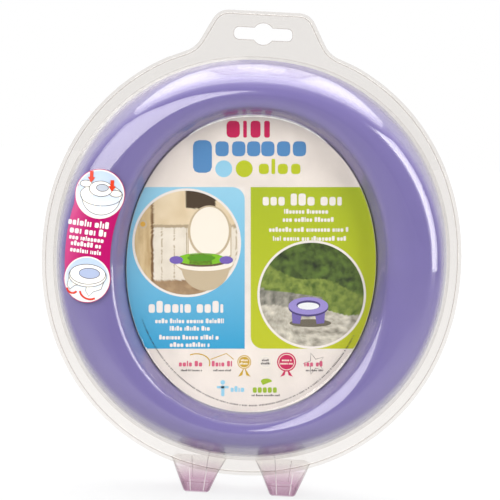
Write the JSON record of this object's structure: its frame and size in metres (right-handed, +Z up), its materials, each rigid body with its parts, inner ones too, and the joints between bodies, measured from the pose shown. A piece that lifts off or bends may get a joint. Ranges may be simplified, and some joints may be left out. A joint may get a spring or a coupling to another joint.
{
  "type": "folding travel potty",
  "caption": "Ring-shaped folding potty and toilet trainer seat with two swing-out legs, folded flat in a clear hanging shop pack with a printed card.",
  "frame": {"origin": "on the floor plane under the middle of the standing pack's box", "axes": "+X to the viewer's right, -Y the way the seat's face and the printed card look, +Z up to the hang tab"},
  "size_m": [0.258, 0.0576, 0.292],
  "materials": {
    "seat_plastic": "glossy moulded polypropylene, purple",
    "frame_plastic": "satin moulded polypropylene, deeper purple",
    "leg_plastic": "glossy moulded polypropylene, purple",
    "pin_steel": "plain turned steel",
    "screw_steel": "zinc plated steel",
    "grip_rubber": "matt non-slip rubber",
    "clear_sheet": "clear thermoformed sheet",
    "printed_card": "coated board, printed",
    "printed_label": "gloss laminated label, printed",
    "liner_film": "soft white film over absorbent pad",
    "bag_fabric": "thin woven nylon"
  },
  "bodies": {
    "seat": {"seat_shell": "seat_plastic", "under_frame": "frame_plastic", "frame_screw_1": "screw_steel", "frame_screw_2": "screw_steel", "frame_screw_3": "screw_steel", "frame_screw_4": "screw_steel", "frame_screw_5": "screw_steel", "frame_screw_6": "screw_steel", "left_hinge_pin_upper": "pin_steel", "left_hinge_pin_lower": "pin_steel", "right_hinge_pin_upper": "pin_steel", "right_hinge_pin_lower": "pin_steel"},
    "left_leg": {"left_leg": "leg_plastic", "left_grip_strip": "grip_rubber", "left_rubber_foot_upper": "grip_rubber", "left_rubber_foot_lower": "grip_rubber"},
    "right_leg": {"right_leg": "leg_plastic", "right_grip_strip": "grip_rubber", "right_rubber_foot_upper": "grip_rubber", "right_rubber_foot_lower": "grip_rubber"},
    "pack_front": {"front_blister": "clear_sheet", "insert_card": "printed_card", "side_label": "printed_label", "liner_1": "liner_film", "liner_2": "liner_film", "liner_3": "liner_film", "travel_bag": "bag_fabric"},
    "pack_rear": {"rear_frame": "clear_sheet"}
  },
  "joints": [
    {"name": "left_leg_hinge", "type": "hinge", "parent": "seat", "child": "left_leg", "pos_m": [-0.105, 0.02375, 0.14], "axis": [0, 0, 1], "range_deg": [0, 180]},
    {"name": "right_leg_hinge", "type": "hinge", "parent": "seat", "child": "right_leg", "pos_m": [0.105, 0.02375, 0.14], "axis": [0, 0, -1], "range_deg": [0, 180]},
    {"name": "pack_front_lift", "type": "slide", "parent": "seat", "child": "pack_front", "axis": [0, -1, 0], "range_m": [0, 0.12]},
    {"name": "pack_rear_lift", "type": "slide", "parent": "seat", "child": "pack_rear", "axis": [0, 1, 0], "range_m": [0, 0.12]}
  ]
}
